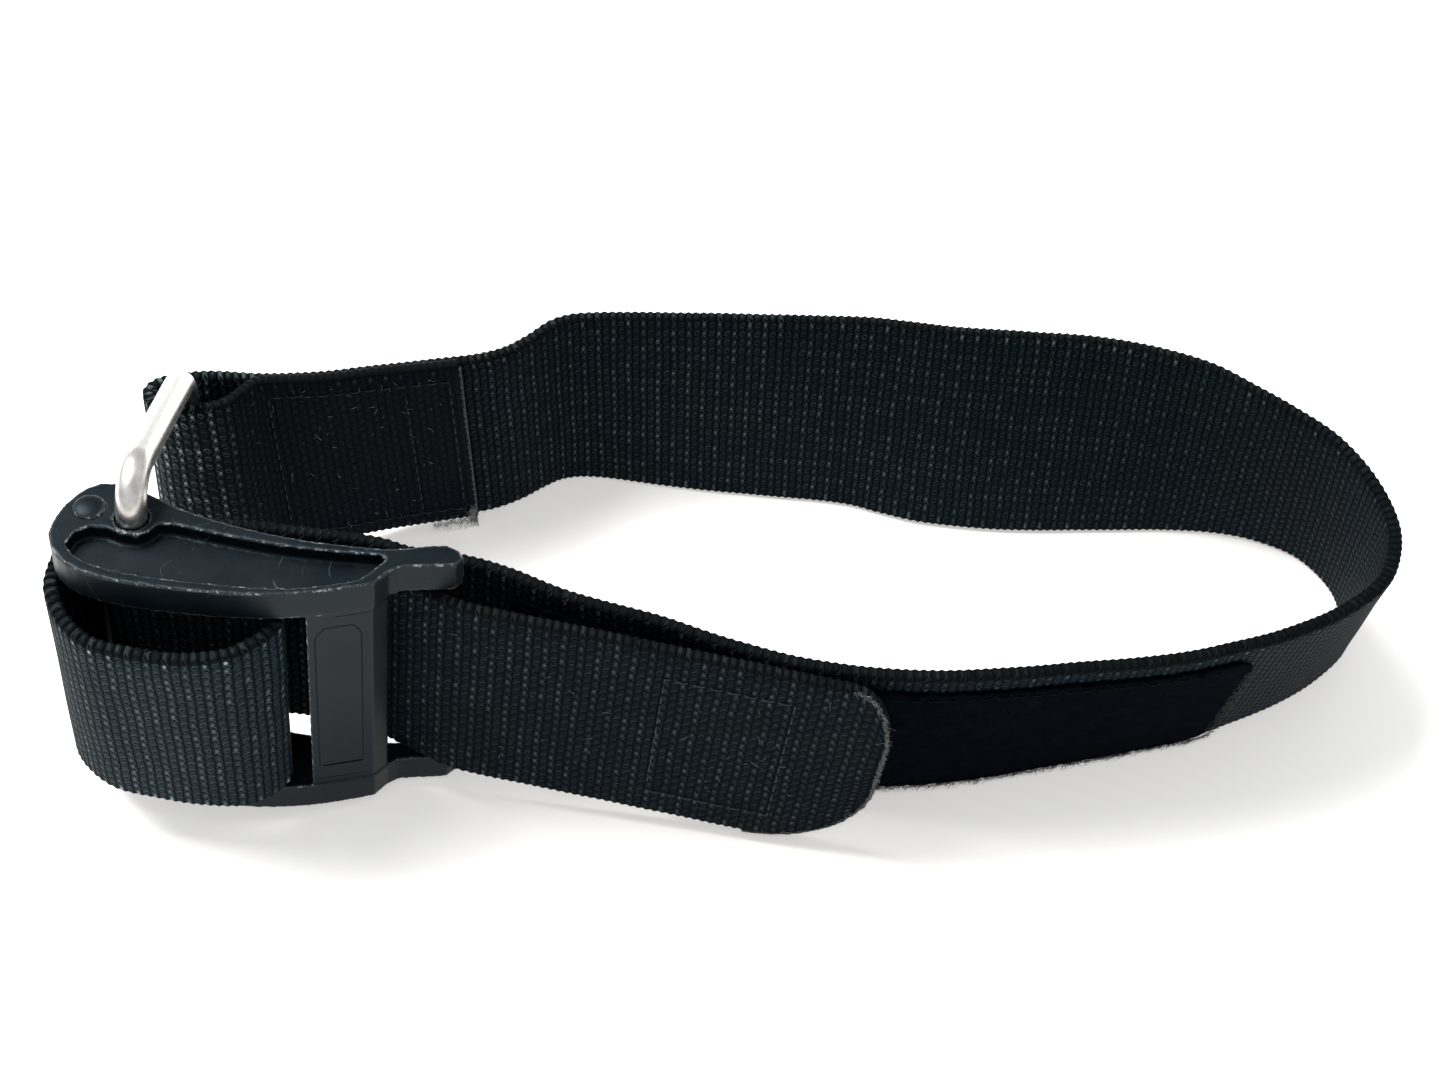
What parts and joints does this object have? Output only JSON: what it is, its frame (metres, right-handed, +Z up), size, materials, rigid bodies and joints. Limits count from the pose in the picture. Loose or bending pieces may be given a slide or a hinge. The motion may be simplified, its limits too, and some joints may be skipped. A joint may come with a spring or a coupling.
{
  "type": "webbing belt with cam-lever buckle",
  "caption": "Wide webbing belt closed into a loop by a moulded cam-lever buckle, a wire bail in a sewn loop, and a hook-and-loop tail.",
  "frame": {"origin": "centre of the standing belt's outline, on the surface that the webbing's lower edge stands on", "axes": "+X from the buckle towards the belt's far end, +Z up across the webbing's width, -Y towards the tail's outer face"},
  "size_m": [0.2548, 0.1069, 0.079],
  "materials": {
    "webbing": "coarse ribbed polyester webbing, near black",
    "loop_pile": "soft napped loop tape, blue-black",
    "hook_pile": "stiff hook tape, black",
    "thread": "bonded sewing thread, black",
    "moulded_nylon": "semi-matte black moulded nylon with worn edges",
    "stainless_wire": "bright drawn stainless wire"
  },
  "bodies": {
    "belt": {"webbing_sewn_loop": "webbing", "webbing_fold_back": "webbing", "webbing_back_left": "webbing", "webbing_back": "webbing", "webbing_right": "webbing", "webbing_front": "webbing", "webbing_behind_buckle": "webbing", "loop_tape": "loop_pile", "loop_tape_stitch_lower": "thread", "loop_tape_stitch_upper": "thread", "box_stitch": "thread"},
    "bail": {"bail": "stainless_wire"},
    "lever": {"cam_lever": "moulded_nylon", "end_pin": "moulded_nylon", "webbing_end_wrap": "webbing", "webbing_slack_loop": "webbing", "webbing_cam_turn": "webbing", "webbing_tail_root": "webbing"},
    "tail": {"webbing_tail": "webbing", "hook_tape": "hook_pile", "hook_tape_stitch": "thread"}
  },
  "joints": [
    {"name": "bail_swing", "type": "hinge", "parent": "belt", "child": "bail", "pos_m": [-0.11218, 0.01302, 0.0061], "axis": [0.0321, 0.0106, 0.9994], "range_deg": [-15, 0]},
    {"name": "lever_swing", "type": "hinge", "parent": "bail", "child": "lever", "pos_m": [-0.1142, -0.0306, 0.0065], "axis": [0.0993, 0, 0.9951], "range_deg": [-95, 0]},
    {"name": "tail_peel", "type": "hinge", "parent": "lever", "child": "tail", "pos_m": [-0.06703, -0.0329, 0.00179], "axis": [0.0993, 0, 0.9951], "range_deg": [-90, 0]}
  ]
}
